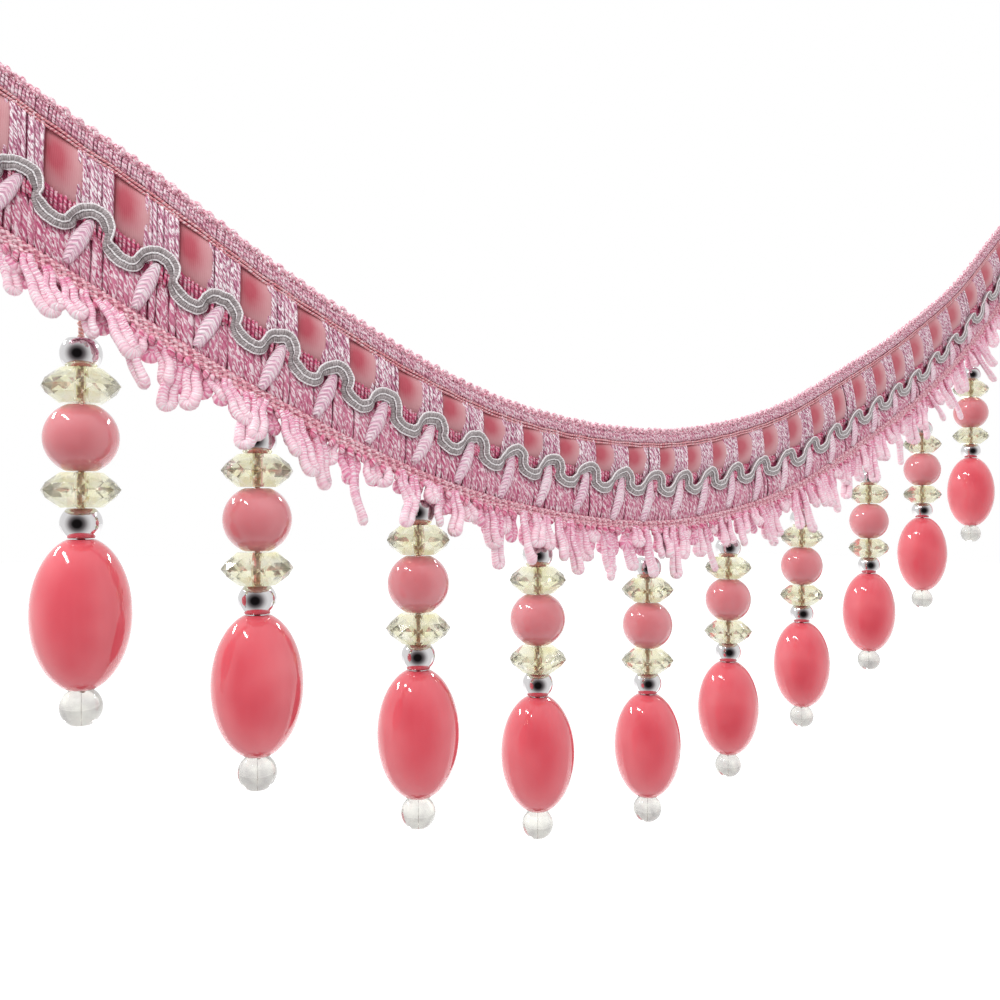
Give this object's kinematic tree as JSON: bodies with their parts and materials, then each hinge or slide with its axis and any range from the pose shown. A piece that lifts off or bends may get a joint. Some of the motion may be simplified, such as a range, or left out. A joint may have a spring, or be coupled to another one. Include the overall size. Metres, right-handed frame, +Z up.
{
  "type": "beaded fringe trim",
  "caption": "Swagged length of woven trim with a ribbon-laced heading, paired wound cords, a loop fringe and hanging bead drops.",
  "frame": {"origin": "on the heading's top edge, above the fifth bead drop, at the lowest part of the swag", "axes": "+X along the swag, -Y the face side, +Z up; the bead drops hang plumb along -Z"},
  "size_m": [0.463, 0.0333, 0.2288],
  "materials": {
    "heading_yarn": "silky twisted viscose yarn, mauve pink with pale highlights",
    "satin_ribbon": "satin ribbon, coral",
    "grey_cord": "fine wound cord, silver grey",
    "fringe_cord": "soft silky cord loops, pale pink",
    "rose_bead": "polished, slightly translucent, rose",
    "pale_bead": "clear faceted, pale yellow",
    "silver_bead": "bright plated"
  },
  "bodies": {
    "root": {"heading": "heading_yarn", "ribbon": "satin_ribbon", "wound_cords": "grey_cord", "fringe_1": "fringe_cord", "fringe_2": "fringe_cord", "fringe_3": "fringe_cord", "fringe_4": "fringe_cord", "fringe_5": "fringe_cord", "drop_01_string": "silver_bead", "drop_01_rondelle_top": "pale_bead", "drop_01_ball": "rose_bead", "drop_01_rondelle_low": "pale_bead", "drop_01_oval": "rose_bead", "drop_02_string": "silver_bead", "drop_02_rondelle_top": "pale_bead", "drop_02_ball": "rose_bead", "drop_02_rondelle_low": "pale_bead", "drop_02_oval": "rose_bead", "drop_03_string": "silver_bead", "drop_03_rondelle_top": "pale_bead", "drop_03_ball": "rose_bead", "drop_03_rondelle_low": "pale_bead", "drop_03_oval": "rose_bead", "drop_04_string": "silver_bead", "drop_04_rondelle_top": "pale_bead", "drop_04_ball": "rose_bead", "drop_04_rondelle_low": "pale_bead", "drop_04_oval": "rose_bead", "drop_05_string": "silver_bead", "drop_05_rondelle_top": "pale_bead", "drop_05_ball": "rose_bead", "drop_05_rondelle_low": "pale_bead", "drop_05_oval": "rose_bead", "drop_06_string": "silver_bead", "drop_06_rondelle_top": "pale_bead", "drop_06_ball": "rose_bead", "drop_06_rondelle_low": "pale_bead", "drop_06_oval": "rose_bead", "drop_07_string": "silver_bead", "drop_07_rondelle_top": "pale_bead", "drop_07_ball": "rose_bead", "drop_07_rondelle_low": "pale_bead", "drop_07_oval": "rose_bead", "drop_08_string": "silver_bead", "drop_08_rondelle_top": "pale_bead", "drop_08_ball": "rose_bead", "drop_08_rondelle_low": "pale_bead", "drop_08_oval": "rose_bead", "drop_09_string": "silver_bead", "drop_09_rondelle_top": "pale_bead", "drop_09_ball": "rose_bead", "drop_09_rondelle_low": "pale_bead", "drop_09_oval": "rose_bead", "drop_10_string": "silver_bead", "drop_10_rondelle_top": "pale_bead", "drop_10_ball": "rose_bead", "drop_10_rondelle_low": "pale_bead", "drop_10_oval": "rose_bead"}
  },
  "joints": []
}
